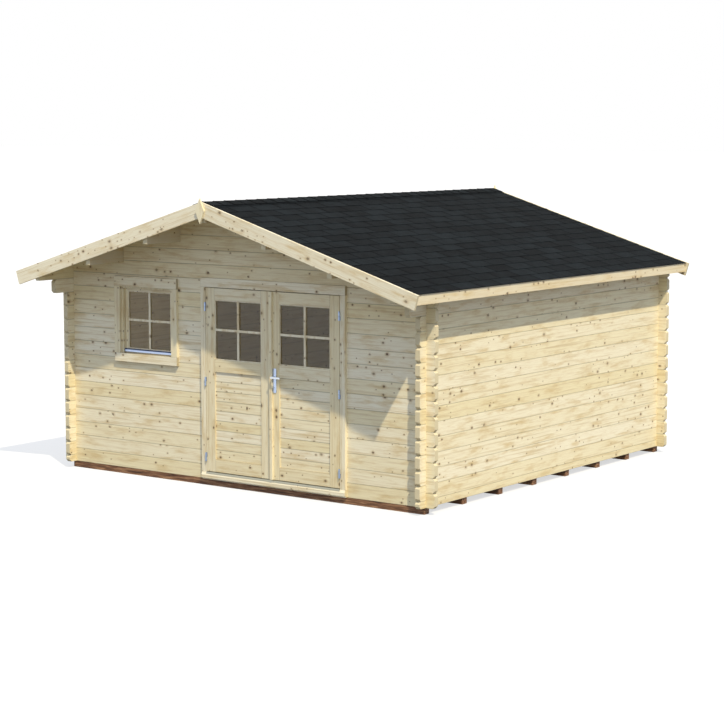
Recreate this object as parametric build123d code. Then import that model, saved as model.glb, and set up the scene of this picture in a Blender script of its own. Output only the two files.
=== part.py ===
from build123d import *
from math import cos, radians, sin, tan
import os

# Log cabin with cross-lapped tongue-and-groove log walls, a purlin roof, a double door and one window.
# Millimetres. +X is right and +Y is back as seen from the door, +Z is up.
# The origin is on the ground, under the middle of the roof's plan.

# Walls
cabin_width = 4300
cabin_depth = 4300
wall_thickness = 50
side_wall_height = 1969
log_pitch = 136
corner_overhang = 95
end_chamfer = 23
joint_chamfer = 3
tongue_width = 16
tongue_height = 8
tongue_clearance = 0.5
corbel_reach = 258
lap_share = 0.25

# Clearance between pieces that rest on or against each other, and the overrun of every cut
seat_gap = 0.3
overrun = 40

# Sides that a small round bar is drawn with
round_sides = 12

# Foundation and floor
bearer_count = 8
bearer_width = 75
bearer_height = 60
bearer_setback = 15
floor_thickness = 19
floor_edge_gap = 6

# Roof
roof_pitch = 16.9
front_overhang = 468
rear_overhang = 115
eave_overhang = 196
roof_board_thickness = 19
shingle_thickness = 6
shingle_drip = 8
capping_width = 125
capping_thickness = 5
purlin_width = 50
purlin_depth = 172
purlin_place_shares = (0.318, 0.661)
ridge_purlin_width = 70
ridge_purlin_depth = 162
fascia_thickness = 20
fascia_height = 92
bargeboard_width = 134
bargeboard_thickness = 22
bargeboard_end_margin = 34
finial_width = 104
finial_height = 231
finial_thickness = 19
finial_rise = 35

# Door frame
door_centre = 436
door_frame_width = 1702
door_head_underside = 1833
door_head_face = 86
casing_proud = 28
door_casing_face = 57
inner_casing_thickness = 16
lining_thickness = 30
lining_wall_gap = 4
door_stop = 12
threshold_height = 70
threshold_nosing = 38
threshold_nosing_top = 44
threshold_nosing_bottom = 14
threshold_lip_setback = 18

# Door leaves
leaf_thickness = 40
leaf_gap = 6
leaf_floor_gap = 11
meeting_gap = 8
meeting_offset = 12
outer_stile = 108
meeting_stile = 104
top_rail = 112
middle_rail = 117
middle_rail_bottom = 1036
bottom_rail = 118
glass_thickness = 4
glass_edge = 8
panel_thickness = 18
panel_edge = 10
panel_board_count = 9
panel_groove = 4
meeting_strip_width = 30
meeting_strip_thickness = 20

# Hinges, with a barrel on each leaf's outer edge
hinge_place_shares = (0.078, 0.491, 0.897)
barrel_radius = 8
barrel_length = 84
barrel_gap = 0.5
pin_radius = 4
pin_clearance = 0.4
pin_length = 32
wing_length = 22
wing_thickness = 2.5

# Lock plates and lever handle
plate_width = 40
plate_height = 226
plate_thickness = 6
plate_strip_gap = 1
plate_bottom = 894
lever_height = 1040
lever_neck_radius = 9
lever_neck_length = 44
lever_neck_clearance = 0.6
lever_arm_length = 114
lever_arm_width = 18
lever_arm_thickness = 12
spindle_radius = 6
spindle_bore_radius = 12

# Window
window_centre = -1124
window_casing_width = 807
window_casing_bottom = 1054
window_casing_top = 1887
window_casing_side = 72
window_casing_head = 98
window_casing_sill = 82
window_head_gap = 25
window_frame_reveal = 20
sash_thickness = 36
sash_setback = 30
sash_gap = 3
sash_stile = 32
sash_top_rail = 24
sash_bottom_rail = 42
drip_bar_height = 14
drip_bar_depth = 16

# Places worked out from the sizes above
slope = tan(radians(roof_pitch))
half_width = cabin_width / 2
inner_half = half_width - wall_thickness
base = bearer_height + seat_gap
bargeboard_reach = half_width + eave_overhang + fascia_thickness + bargeboard_end_margin
front_reach = front_overhang + bargeboard_thickness + finial_thickness + 2 * seat_gap
rear_reach = rear_overhang + bargeboard_thickness + finial_thickness + 2 * seat_gap
front_face = (front_reach - rear_reach - cabin_depth) / 2
back_face = front_face + cabin_depth
front_inner = front_face + wall_thickness
back_inner = back_face - wall_thickness
roof_front = front_face - front_overhang
roof_back = back_face + rear_overhang
roof_apex = base + side_wall_height + slope * half_width
board_rise = roof_board_thickness / cos(radians(roof_pitch))
shingle_rise = shingle_thickness / cos(radians(roof_pitch))
lap = log_pitch * lap_share
lowest_end_underside = side_wall_height - slope * corner_overhang
front_courses = int(lowest_end_underside / log_pitch)
side_full_courses = front_courses - 1


def roof_height(x, lift=0):
    """Height of the roof boards' underside at x, or of a layer that lies higher by lift."""
    return roof_apex + lift - slope * abs(x)


def block(x_range, y_range, z_range):
    """A straight box between two corners."""
    ranges = (x_range, y_range, z_range)
    sizes = [high - low for low, high in ranges]
    middles = [(high + low) / 2 for low, high in ranges]
    return Pos(*middles) * Box(*sizes)


def slab_across(points, y_from, y_to):
    """A closed outline of (x, z) points, extruded from front to back."""
    face = make_face(Polyline(*[(x, y_from, z) for x, z in points], close=True))
    return extrude(face, amount=y_to - y_from, dir=(0, 1, 0))


def slab_along(points, x_from, x_to):
    """A closed outline of (y, z) points, extruded from left to right."""
    face = make_face(Polyline(*[(x_from, y, z) for y, z in points], close=True))
    return extrude(face, amount=x_to - x_from, dir=(1, 0, 0))


def post(centre, radius, z_range):
    """An upright round bar, drawn with few sides."""
    low, high = z_range
    return Pos(centre[0], centre[1], low) * extrude(RegularPolygon(radius, round_sides), amount=high - low)


def spindle_bar(x, z, radius, y_range):
    """A round bar that runs from front to back, drawn with few sides."""
    low, high = y_range
    return Pos(x, high, z) * Rot(90, 0, 0) * extrude(RegularPolygon(radius, round_sides), amount=high - low)


# Logs
def log_section(across, bottom, top):
    """Section of a log, its outer edges bevelled so that each joint shows as a V from outside."""
    inner, outer = sorted(across, key=abs)
    bevel = joint_chamfer if inner > outer else -joint_chamfer
    return [
        (inner, bottom),
        (outer + bevel, bottom),
        (outer, bottom + joint_chamfer),
        (outer, top - joint_chamfer),
        (outer + bevel, top),
        (inner, top),
    ]


def log_outline(start, end, bottom, top, crossings, lap_below=True):
    """Elevation of a log: both ends chamfered, and a lap cut above and below at each crossing."""
    points = [(start, bottom + end_chamfer), (start + end_chamfer, bottom)]
    if lap_below:
        for left, right in crossings:
            points += [(left, bottom), (left, bottom + lap), (right, bottom + lap), (right, bottom)]
    points += [
        (end - end_chamfer, bottom),
        (end, bottom + end_chamfer),
        (end, top - end_chamfer),
        (end - end_chamfer, top),
    ]
    for left, right in reversed(crossings):
        points += [(right, top), (right, top - lap), (left, top - lap), (left, top)]
    points += [(start + end_chamfer, top), (start, top - end_chamfer)]
    return points


def groove_ranges(across, bottom):
    """Width and height of the groove under a log."""
    middle = (across[0] + across[1]) / 2
    half = tongue_width / 2 + tongue_clearance
    return (middle - half, middle + half), (bottom - overrun, bottom + tongue_height + tongue_clearance)


def tongue_ranges(across, top):
    """Width and height of the tongue on a log, rooted in the log."""
    middle = (across[0] + across[1]) / 2
    half = tongue_width / 2
    return (middle - half, middle + half), (top - tongue_height, top + tongue_height)


def course_range(count):
    """Bottom and top of a full log that lies this many pitches above the walls' base."""
    low = base + count * log_pitch
    return low + seat_gap / 2, low + log_pitch - seat_gap / 2


side_crossings = [
    (-half_width - seat_gap, -inner_half + seat_gap),
    (inner_half - seat_gap, half_width + seat_gap),
]
end_crossings = [
    (front_face - seat_gap, front_inner + seat_gap),
    (back_inner - seat_gap, back_face + seat_gap),
]


def between(crossings):
    """The run of a log between its two corners."""
    return crossings[0][1], crossings[1][0]


def gable_wall_log(course, y_range):
    """A full log of the front or back wall."""
    bottom, top = course_range(course)
    reach = half_width + corner_overhang
    outline = slab_across(log_outline(-reach, reach, bottom, top, side_crossings), *y_range)
    log = outline & slab_along(log_section(y_range, bottom, top), -reach, reach)
    run = between(side_crossings)
    return log + block(run, *tongue_ranges(y_range, top)) - block(run, *groove_ranges(y_range, bottom))


def side_wall_log(bottom, top, x_range, front_end, back_end, lap_below=True):
    """A log of the left or right wall."""
    points = log_outline(front_end, back_end, bottom, top, end_crossings, lap_below)
    log = slab_along(points, *x_range) & slab_across(log_section(x_range, bottom, top), front_end, back_end)
    run = between(end_crossings)
    tongue_x, tongue_z = tongue_ranges(x_range, top)
    log += block(tongue_x, run, tongue_z)
    if lap_below:
        groove_x, groove_z = groove_ranges(x_range, bottom)
        log -= block(groove_x, run, groove_z)
    return log


def wall_plate_log(x_range):
    """The top log of a side wall: its upper edge is bevelled to the roof, and it carries the overhang."""
    bottom = course_range(side_full_courses + lap_share * 2)[0]
    inner, outer = sorted(x_range, key=abs)
    bevel = joint_chamfer if inner > outer else -joint_chamfer
    section = [
        (inner, bottom),
        (outer + bevel, bottom),
        (outer, bottom + joint_chamfer),
        (outer, roof_height(outer) - seat_gap),
        (inner, roof_height(inner) - seat_gap),
    ]
    log = slab_across(section, roof_front, roof_back)
    for y_range in end_crossings:
        log -= block((x_range[0] - overrun, x_range[1] + overrun), y_range, (bottom - overrun, bottom + lap))
    groove_x, groove_z = groove_ranges(x_range, bottom)
    return log - block(groove_x, between(end_crossings), groove_z)


def side_wall(x_range):
    """A half log, the full logs, the corbel log that reaches forward, and the bevelled top log."""
    front_end = front_face - corner_overhang
    back_end = back_face + corner_overhang
    half_top = base + log_pitch / 2 - seat_gap / 2
    logs = [side_wall_log(base, half_top, x_range, front_end, back_end, lap_below=False)]
    for course in range(side_full_courses):
        bottom, top = course_range(course + lap_share * 2)
        is_corbel = course == side_full_courses - 1
        reach = front_face - corbel_reach if is_corbel else front_end
        logs.append(side_wall_log(bottom, top, x_range, reach, back_end))
    logs.append(wall_plate_log(x_range))
    return logs


# Purlins: sections in (x, z), bevelled to the roof
def purlin_section(inner_x, clearance=0):
    """A purlin of the right slope, its inner face at inner_x. Clearance widens it for the gables' notches."""
    low = roof_height(inner_x) - purlin_depth - clearance
    near = inner_x - clearance
    far = inner_x + purlin_width + clearance
    lift = clearance - seat_gap
    return [(near, low), (far, low), (far, roof_height(far) + lift), (near, roof_height(near) + lift)]


def ridge_purlin_section(clearance=0):
    """The ridge purlin, its top peaked to both slopes."""
    half = ridge_purlin_width / 2 + clearance
    low = roof_apex - ridge_purlin_depth - clearance
    lift = clearance - seat_gap
    edge = roof_height(half) + lift
    return [(-half, low), (half, low), (half, edge), (0, roof_apex + lift), (-half, edge)]


purlin_places = [share * half_width for share in purlin_place_shares]


def mirrored(points):
    """An outline of the right slope, turned over to the left one."""
    return [(-x, z) for x, z in reversed(points)]


def gable_logs(y_range):
    """Logs above the wall plates, cut to the slopes and notched round the purlins."""
    ceiling = roof_apex - seat_gap
    reach = inner_half - seat_gap
    triangle = [
        (-reach, base),
        (reach, base),
        (reach, roof_height(reach) - seat_gap),
        (0, ceiling),
        (-reach, roof_height(reach) - seat_gap),
    ]
    under_roof = slab_across(triangle, *y_range)
    cut_range = (y_range[0] - overrun, y_range[1] + overrun)
    passages = slab_across(ridge_purlin_section(2 * seat_gap), *cut_range)
    for place in purlin_places:
        section = purlin_section(place, 2 * seat_gap)
        passages += slab_across(section, *cut_range)
        passages += slab_across(mirrored(section), *cut_range)
    logs = []
    course_count = int((ceiling - base) / log_pitch)
    for course in range(front_courses, course_count):
        bottom, top = course_range(course)
        if course == course_count - 1:
            top = ceiling + overrun
        log = slab_along(log_section(y_range, bottom, top), -reach, reach)
        log += block((-reach, reach), *tongue_ranges(y_range, top))
        log -= block((-reach, reach), *groove_ranges(y_range, bottom))
        logs += ((log & under_roof) - passages).solids()
    return logs


# Openings in the front wall
frame_left = door_centre - door_frame_width / 2
frame_right = door_centre + door_frame_width / 2
jamb_left = frame_left + door_casing_face
jamb_right = frame_right - door_casing_face
head_underside = base + door_head_underside
head_top = head_underside + door_head_face
threshold_top = base + threshold_height
casing_front = front_face - seat_gap - casing_proud
lining_reach = lining_thickness + lining_wall_gap
door_opening = block(
    (jamb_left - lining_reach, jamb_right + lining_reach),
    (front_face - overrun, front_inner + overrun),
    (base - overrun, base + front_courses * log_pitch + tongue_height),
)

window_left = window_centre - window_casing_width / 2
window_right = window_centre + window_casing_width / 2
window_low = base + window_casing_bottom
window_high = base + window_casing_top
casing_left = window_left + window_casing_side
casing_right = window_right - window_casing_side
casing_high = window_high - window_casing_head
light_left = casing_left + window_frame_reveal
light_right = casing_right - window_frame_reveal
light_low = window_low + window_casing_sill
light_high = casing_high - window_frame_reveal
sill_course = int((light_low - lining_thickness - base) / log_pitch)
sill_seat = base + sill_course * log_pitch
window_opening = block(
    (light_left - lining_reach, light_right + lining_reach),
    (front_face - overrun, front_inner + overrun),
    (sill_seat, light_high + lining_thickness + window_head_gap),
)

nodes = {}


def build_walls():
    front_range = (front_face, front_inner)
    back_range = (back_inner, back_face)
    left_logs = []
    right_logs = []
    for course in range(front_courses):
        log = gable_wall_log(course, front_range) - door_opening - window_opening
        for piece in log.solids():
            group = left_logs if piece.center().X < door_centre else right_logs
            group.append(piece)
    nodes["front_wall_left_logs"] = left_logs
    nodes["front_wall_right_logs"] = right_logs
    nodes["front_gable_logs"] = gable_logs(front_range)
    nodes["back_wall_logs"] = [gable_wall_log(course, back_range) for course in range(front_courses)]
    nodes["back_gable_logs"] = gable_logs(back_range)
    nodes["left_wall_logs"] = side_wall((-half_width, -inner_half))
    nodes["right_wall_logs"] = side_wall((inner_half, half_width))


def build_foundation():
    reach = half_width - bearer_setback
    pitch = (cabin_depth - bearer_width) / (bearer_count - 1)
    starts = [front_face + count * pitch for count in range(bearer_count)]
    nodes["foundation_bearers"] = [
        block((-reach, reach), (start, start + bearer_width), (0, bearer_height)) for start in starts
    ]
    edge = inner_half - floor_edge_gap
    nodes["floor_deck"] = [
        block(
            (-edge, edge),
            (front_inner + floor_edge_gap, back_inner - floor_edge_gap),
            (base, base + floor_thickness),
        )
    ]


def sloping_layer(inner_x, outer_x, low_lift, high_lift):
    """Section of a roof layer on the right slope, plumb at both edges."""
    return [
        (inner_x, roof_height(inner_x, low_lift)),
        (outer_x, roof_height(outer_x, low_lift)),
        (outer_x, roof_height(outer_x, high_lift)),
        (inner_x, roof_height(inner_x, high_lift)),
    ]


def both_slopes(name, points, y_from, y_to):
    """One node on each slope, from the right slope's outline."""
    nodes["right_" + name] = [slab_across(points, y_from, y_to)]
    nodes["left_" + name] = [slab_across(mirrored(points), y_from, y_to)]


def build_roof():
    nodes["ridge_purlin"] = [slab_across(ridge_purlin_section(), roof_front, roof_back)]
    sections = [purlin_section(place) for place in purlin_places]
    nodes["right_purlins"] = [slab_across(section, roof_front, roof_back) for section in sections]
    nodes["left_purlins"] = [slab_across(mirrored(section), roof_front, roof_back) for section in sections]

    board_edge = half_width + eave_overhang
    both_slopes("roof_deck", sloping_layer(seat_gap / 2, board_edge, 0, board_rise), roof_front, roof_back)
    fascia_outer = board_edge + seat_gap + fascia_thickness
    shingle_edge = fascia_outer + shingle_drip
    shingle_low = board_rise + seat_gap
    shingle_high = shingle_low + shingle_rise
    shingles = sloping_layer(seat_gap / 2, shingle_edge, shingle_low, shingle_high)
    both_slopes("roof_shingles", shingles, roof_front, roof_back)

    capping_low = shingle_high + seat_gap
    capping_high = capping_low + capping_thickness / cos(radians(roof_pitch))
    capping_edge = capping_width * cos(radians(roof_pitch))
    capping = [
        (-capping_edge, roof_height(capping_edge, capping_low)),
        (0, roof_height(0, capping_low)),
        (capping_edge, roof_height(capping_edge, capping_low)),
        (capping_edge, roof_height(capping_edge, capping_high)),
        (0, roof_height(0, capping_high)),
        (-capping_edge, roof_height(capping_edge, capping_high)),
    ]
    nodes["ridge_capping"] = [slab_across(capping, roof_front, roof_back)]

    fascia_top = roof_height(fascia_outer, board_rise)
    nodes["right_fascia"] = [
        block(
            (board_edge + seat_gap, fascia_outer),
            (roof_front, roof_back),
            (fascia_top - fascia_height, fascia_top),
        )
    ]
    nodes["left_fascia"] = [mirror(nodes["right_fascia"][0], about=Plane.YZ)]
    build_gable_trim(shingle_high)


def build_gable_trim(top_lift):
    """Bargeboards square to the slope at their lower ends, mitred at the ridge under a diamond finial."""
    drop = bargeboard_width / cos(radians(roof_pitch))
    inset = bargeboard_width * sin(radians(roof_pitch))
    lower_x = bargeboard_reach - inset
    board = [
        (seat_gap / 2, roof_height(seat_gap / 2, top_lift - drop)),
        (lower_x, roof_height(lower_x, top_lift - drop)),
        (bargeboard_reach, roof_height(bargeboard_reach, top_lift)),
        (seat_gap / 2, roof_height(seat_gap / 2, top_lift)),
    ]
    finial_top = roof_apex + top_lift + finial_rise
    finial_middle = finial_top - finial_height / 2
    finial_half = finial_width / 2
    finial = [
        (0, finial_top - finial_height),
        (finial_half, finial_middle),
        (0, finial_top),
        (-finial_half, finial_middle),
    ]
    for end, seat, outward in (("front", roof_front, -1), ("back", roof_back, 1)):
        board_near = seat + outward * seat_gap
        board_far = board_near + outward * bargeboard_thickness
        finial_near = board_far + outward * seat_gap
        finial_far = finial_near + outward * finial_thickness
        low, high = sorted((board_near, board_far))
        nodes[end + "_right_bargeboard"] = [slab_across(board, low, high)]
        nodes[end + "_left_bargeboard"] = [slab_across(mirrored(board), low, high)]
        low, high = sorted((finial_near, finial_far))
        nodes[end + "_finial"] = [slab_across(finial, low, high)]


def build_door_frame():
    inner_casing_back = front_inner + seat_gap + inner_casing_thickness
    stop_front = casing_front + leaf_thickness + leaf_gap
    lining_left = jamb_left - lining_thickness
    lining_right = jamb_right + lining_thickness
    lining_top = head_underside + lining_thickness

    jamb = [
        (lining_left, front_face),
        (jamb_left, front_face),
        (jamb_left, stop_front),
        (jamb_left + door_stop, stop_front),
        (jamb_left + door_stop, front_inner),
        (lining_left, front_inner),
    ]
    jamb_face = make_face(Polyline(*[(x, y, threshold_top + seat_gap) for x, y in jamb], close=True))
    jamb_height = head_underside - threshold_top - 2 * seat_gap
    left_jamb = extrude(jamb_face, amount=jamb_height, dir=(0, 0, 1))
    right_jamb = mirror(left_jamb, about=Plane.YZ.offset(door_centre))
    head = [
        (front_face, head_underside),
        (stop_front, head_underside),
        (stop_front, head_underside - door_stop),
        (front_inner, head_underside - door_stop),
        (front_inner, lining_top),
        (front_face, lining_top),
    ]
    head_solid = slab_along(head, lining_left, lining_right)
    stop_notch = (stop_front - overrun, front_inner + overrun)
    for low, high in ((lining_left, jamb_left + door_stop), (jamb_right - door_stop, lining_right)):
        notch_x = (low - seat_gap, high + seat_gap)
        head_solid -= block(notch_x, stop_notch, (head_underside - overrun, head_underside))
    nodes["door_frame"] = [left_jamb, right_jamb, head_solid]

    boards = []
    faces = ((casing_front, front_face - seat_gap), (front_inner + seat_gap, inner_casing_back))
    for y_range in faces:
        for x_range in ((frame_left, jamb_left), (jamb_right, frame_right)):
            boards.append(block(x_range, y_range, (threshold_top + seat_gap, head_underside - seat_gap)))
        boards.append(block((frame_left, frame_right), y_range, (head_underside, head_top)))
    nodes["door_casing"] = boards

    nosing = front_face - threshold_nosing
    sill = [
        (nosing + threshold_lip_setback, base),
        (front_inner, base),
        (front_inner, threshold_top),
        (casing_front, threshold_top),
        (nosing, base + threshold_nosing_top),
        (nosing, base + threshold_nosing_bottom),
        (nosing + threshold_lip_setback, base + threshold_nosing_bottom),
    ]
    threshold = slab_along(sill, frame_left, frame_right)
    for x_range in ((frame_left - overrun, lining_left - lining_wall_gap),
                    (lining_right + lining_wall_gap, frame_right + overrun)):
        behind = (front_face - seat_gap, front_inner + overrun)
        threshold -= block(x_range, behind, (base - overrun, threshold_top + overrun))
    nodes["door_threshold"] = [threshold]


# Door leaves
leaf_low = threshold_top + leaf_floor_gap
leaf_high = head_underside - leaf_gap
leaf_front = casing_front
leaf_back = leaf_front + leaf_thickness
leaf_middle = (leaf_front + leaf_back) / 2
meeting_line = door_centre - meeting_offset
left_leaf_x = (jamb_left + leaf_gap, meeting_line - meeting_gap / 2)
right_leaf_x = (meeting_line + meeting_gap / 2, jamb_right - leaf_gap)
glass_low = base + middle_rail_bottom + middle_rail
glass_high = leaf_high - top_rail
panel_low = leaf_low + bottom_rail
panel_high = base + middle_rail_bottom
hinge_y = leaf_front - seat_gap - barrel_radius
left_hinge_x = left_leaf_x[0] - leaf_gap / 2
right_hinge_x = right_leaf_x[1] + leaf_gap / 2
plate_left = right_leaf_x[0] + meeting_strip_width + plate_strip_gap
lever_x = plate_left + plate_width / 2
lever_z = base + lever_height


def centred(middle, thickness):
    return middle - thickness / 2, middle + thickness / 2


def build_leaf(side, x_range, stile_left, stile_right):
    """Stiles and rails grooved for the glass and the boarded panel."""
    low, high = x_range
    light = (low + stile_left, high - stile_right)
    y_range = (leaf_front, leaf_back)
    glass_y = centred(leaf_middle, glass_thickness + 2 * seat_gap)
    panel_y = centred(leaf_middle, panel_thickness + 2 * seat_gap)
    glass_slot = block(
        (light[0] - glass_edge, light[1] + glass_edge),
        glass_y,
        (glass_low - glass_edge, glass_high + glass_edge),
    )
    panel_slot = block(
        (light[0] - panel_edge, light[1] + panel_edge),
        panel_y,
        (panel_low - panel_edge, panel_high + panel_edge),
    )
    rail_x = (light[0] + seat_gap, light[1] - seat_gap)
    members = [
        block((low, light[0]), y_range, (leaf_low, leaf_high)),
        block((light[1], high), y_range, (leaf_low, leaf_high)),
        block(rail_x, y_range, (leaf_low, panel_low)),
        block(rail_x, y_range, (panel_high, glass_low)),
        block(rail_x, y_range, (glass_high, leaf_high)),
    ]
    if side == "right":
        bore = spindle_bar(lever_x, lever_z, spindle_bore_radius, (leaf_front - overrun, leaf_back + overrun))
        members = [member - bore for member in members]
    nodes[side + "_door_leaf"] = [member - glass_slot - panel_slot for member in members]

    inset = glass_edge - seat_gap
    nodes[side + "_door_glass"] = [
        block(
            (light[0] - inset, light[1] + inset),
            centred(leaf_middle, glass_thickness),
            (glass_low - inset, glass_high + inset),
        )
    ]
    nodes[side + "_door_panel"] = [boarded_panel(light)]


def boarded_panel(light):
    """Lower panel of level boards, with a V-groove at each joint on both faces."""
    inset = panel_edge - seat_gap
    x_range = (light[0] - inset, light[1] + inset)
    front, back = centred(leaf_middle, panel_thickness)
    panel = block(x_range, (front, back), (panel_low - inset, panel_high + inset))
    board_height = (panel_high - panel_low) / panel_board_count
    half = panel_groove / 2
    for joint in range(1, panel_board_count):
        z = panel_low + joint * board_height
        for face, inward in ((front, half), (back, -half)):
            groove = [(face, z - half), (face + inward, z), (face, z + half)]
            panel -= slab_along(groove, *light)
    return panel


def build_hinges():
    """Barrel hinges: the frame half carries the pin, the leaf half turns on it."""
    wing_y = (leaf_front - seat_gap - wing_thickness, leaf_front - seat_gap)
    frame_halves = []
    for side, axis_x, to_leaf in (("left", left_hinge_x, 1), ("right", right_hinge_x, -1)):
        centre = (axis_x, hinge_y)
        leaf_halves = []
        for share in hinge_place_shares:
            middle = leaf_low + share * (leaf_high - leaf_low)
            lower = (middle - barrel_length / 2, middle - barrel_gap / 2)
            upper = (middle + barrel_gap / 2, middle + barrel_length / 2)
            pin_middle = middle + (pin_length - barrel_gap) / 2
            pin = Pos(*centre, pin_middle) * Cylinder(pin_radius, pin_length + barrel_gap)
            frame_x = sorted((axis_x, axis_x - to_leaf * wing_length))
            leaf_x = sorted((axis_x, axis_x + to_leaf * wing_length))
            frame_halves.append(post(centre, barrel_radius, lower) + block(frame_x, wing_y, lower) + pin)
            bore_top = middle + pin_length + pin_clearance
            bore = post(centre, pin_radius + pin_clearance, (lower[1], bore_top))
            leaf_halves.append(post(centre, barrel_radius, upper) + block(leaf_x, wing_y, upper) - bore)
        nodes[side + "_leaf_hinges"] = leaf_halves
    nodes["frame_hinges"] = frame_halves


def build_door_furniture():
    strip_front = leaf_front - seat_gap - meeting_strip_thickness
    nodes["meeting_strip"] = [
        block(
            (right_leaf_x[0], right_leaf_x[0] + meeting_strip_width),
            (strip_front, leaf_front - seat_gap),
            (leaf_low, leaf_high),
        )
    ]
    plates = []
    plate_z = (base + plate_bottom, base + plate_bottom + plate_height)
    outer_y = (leaf_front - seat_gap - plate_thickness, leaf_front - seat_gap)
    inner_y = (leaf_back + seat_gap, leaf_back + seat_gap + plate_thickness)
    hole = lever_neck_radius + lever_neck_clearance
    through = (outer_y[0] - overrun, inner_y[1] + overrun)
    for y_range in (outer_y, inner_y):
        plate = block((plate_left, plate_left + plate_width), y_range, plate_z)
        plate = chamfer(plate.edges().filter_by(Axis.Y), plate_thickness)
        plates.append(plate - spindle_bar(lever_x, lever_z, hole, through))
    nodes["lock_plates"] = plates

    outer_end = outer_y[0] - lever_neck_length
    inner_end = inner_y[1] + lever_neck_length
    spindle_middle = (outer_end + inner_end) / 2
    spindle = Rot(90, 0, 0) * Cylinder(spindle_radius, inner_end - outer_end)
    handle = Pos(lever_x, spindle_middle, lever_z) * spindle
    arm_middle = lever_x + lever_arm_length / 2 - lever_arm_width / 2
    for neck, arm_y in (
        ((outer_end, leaf_front - seat_gap), (outer_end - lever_arm_thickness, outer_end)),
        ((leaf_back + seat_gap, inner_end), (inner_end, inner_end + lever_arm_thickness)),
    ):
        handle += spindle_bar(lever_x, lever_z, lever_neck_radius, neck)
        arm = extrude(SlotOverall(lever_arm_length, lever_arm_width), amount=lever_arm_thickness)
        handle += Pos(arm_middle, arm_y[1], lever_z) * Rot(90, 0, 0) * arm
    nodes["lever_handle"] = [handle]


def frame_boards(x_outer, x_inner, z_outer, z_inner, y_range):
    """Two uprights between a head and a sill board, clear of each other by the seat gap."""
    left, right = x_outer
    upright_z = (z_inner[0] + seat_gap, z_inner[1] - seat_gap)
    return [
        block((left, x_inner[0]), y_range, upright_z),
        block((x_inner[1], right), y_range, upright_z),
        block(x_outer, y_range, (z_outer[0], z_inner[0])),
        block(x_outer, y_range, (z_inner[1], z_outer[1])),
    ]


def build_window():
    light_x = (light_left, light_right)
    light_z = (light_low, light_high)
    lining_x = (light_left - lining_thickness, light_right + lining_thickness)
    lining_z = (sill_seat + seat_gap, light_high + lining_thickness)
    nodes["window_frame"] = frame_boards(lining_x, light_x, lining_z, light_z, (front_face, front_inner))

    outer_y = (casing_front, front_face - seat_gap)
    inner_y = (front_inner + seat_gap, front_inner + seat_gap + inner_casing_thickness)
    casing_x = (window_left, window_right)
    casing_z = (window_low, window_high)
    nodes["window_casing"] = [
        board for y_range in (outer_y, inner_y)
        for board in frame_boards(casing_x, (casing_left, casing_right), casing_z, (light_low, casing_high), y_range)
    ]

    sash_x = (light_left + sash_gap, light_right - sash_gap)
    sash_z = (light_low + seat_gap, light_high - sash_gap)
    glass_x = (sash_x[0] + sash_stile, sash_x[1] - sash_stile)
    glass_z = (sash_z[0] + sash_bottom_rail, sash_z[1] - sash_top_rail)
    sash_front = front_face + sash_setback
    sash_y = (sash_front, sash_front + sash_thickness)
    sash_middle = sash_front + sash_thickness / 2
    slot = block(
        (glass_x[0] - glass_edge, glass_x[1] + glass_edge),
        centred(sash_middle, glass_thickness + 2 * seat_gap),
        (glass_z[0] - glass_edge, glass_z[1] + glass_edge),
    )
    rail_x = (glass_x[0] + seat_gap, glass_x[1] - seat_gap)
    nodes["window_sash"] = [
        member - slot for member in (
            block((sash_x[0], glass_x[0]), sash_y, sash_z),
            block((glass_x[1], sash_x[1]), sash_y, sash_z),
            block(rail_x, sash_y, (sash_z[0], glass_z[0])),
            block(rail_x, sash_y, (glass_z[1], sash_z[1])),
        )
    ]
    inset = glass_edge - seat_gap
    nodes["window_glass"] = [
        block(
            (glass_x[0] - inset, glass_x[1] + inset),
            centred(sash_middle, glass_thickness),
            (glass_z[0] - inset, glass_z[1] + inset),
        )
    ]
    bar_back = sash_front - seat_gap
    bar_top = sash_z[0] + sash_bottom_rail
    bar = [
        (bar_back, bar_top - drip_bar_height),
        (bar_back, bar_top),
        (bar_back - drip_bar_depth, bar_top - drip_bar_height),
    ]
    nodes["window_drip_bar"] = [slab_along(bar, *sash_x)]


build_foundation()
build_walls()
build_roof()
build_door_frame()
build_leaf("left", left_leaf_x, outer_stile, meeting_stile)
build_leaf("right", right_leaf_x, meeting_stile, outer_stile)
build_hinges()
build_door_furniture()
build_window()

os.makedirs("parts", exist_ok=True)
for name, pieces in nodes.items():
    solids = [solid for piece in pieces for solid in piece.solids()]
    export_step(Compound(solids), f"parts/{name}.step")
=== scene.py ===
from math import cos, radians, sin, tan

import bmesh
import bpy
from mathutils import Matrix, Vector


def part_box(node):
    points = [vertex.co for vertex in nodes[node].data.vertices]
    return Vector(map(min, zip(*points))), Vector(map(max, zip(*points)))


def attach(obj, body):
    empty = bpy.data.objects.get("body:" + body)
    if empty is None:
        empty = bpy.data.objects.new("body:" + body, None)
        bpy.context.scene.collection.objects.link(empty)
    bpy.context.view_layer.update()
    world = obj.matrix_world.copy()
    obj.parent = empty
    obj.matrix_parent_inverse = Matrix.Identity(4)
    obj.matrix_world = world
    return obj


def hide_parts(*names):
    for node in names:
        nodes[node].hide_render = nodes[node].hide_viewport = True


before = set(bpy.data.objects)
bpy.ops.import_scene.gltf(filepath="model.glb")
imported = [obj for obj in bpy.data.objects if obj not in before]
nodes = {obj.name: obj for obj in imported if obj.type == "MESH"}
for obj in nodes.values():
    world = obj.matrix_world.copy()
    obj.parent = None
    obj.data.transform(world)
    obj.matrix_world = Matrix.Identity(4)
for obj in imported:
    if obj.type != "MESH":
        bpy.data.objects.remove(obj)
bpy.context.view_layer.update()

# Log cabin of planed spruce with a bitumen shingle roof, a double door and one window.
# Metres, in the frame of the CAD model: +X is right and +Y is back as seen from the door.

MM = 0.001

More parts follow.
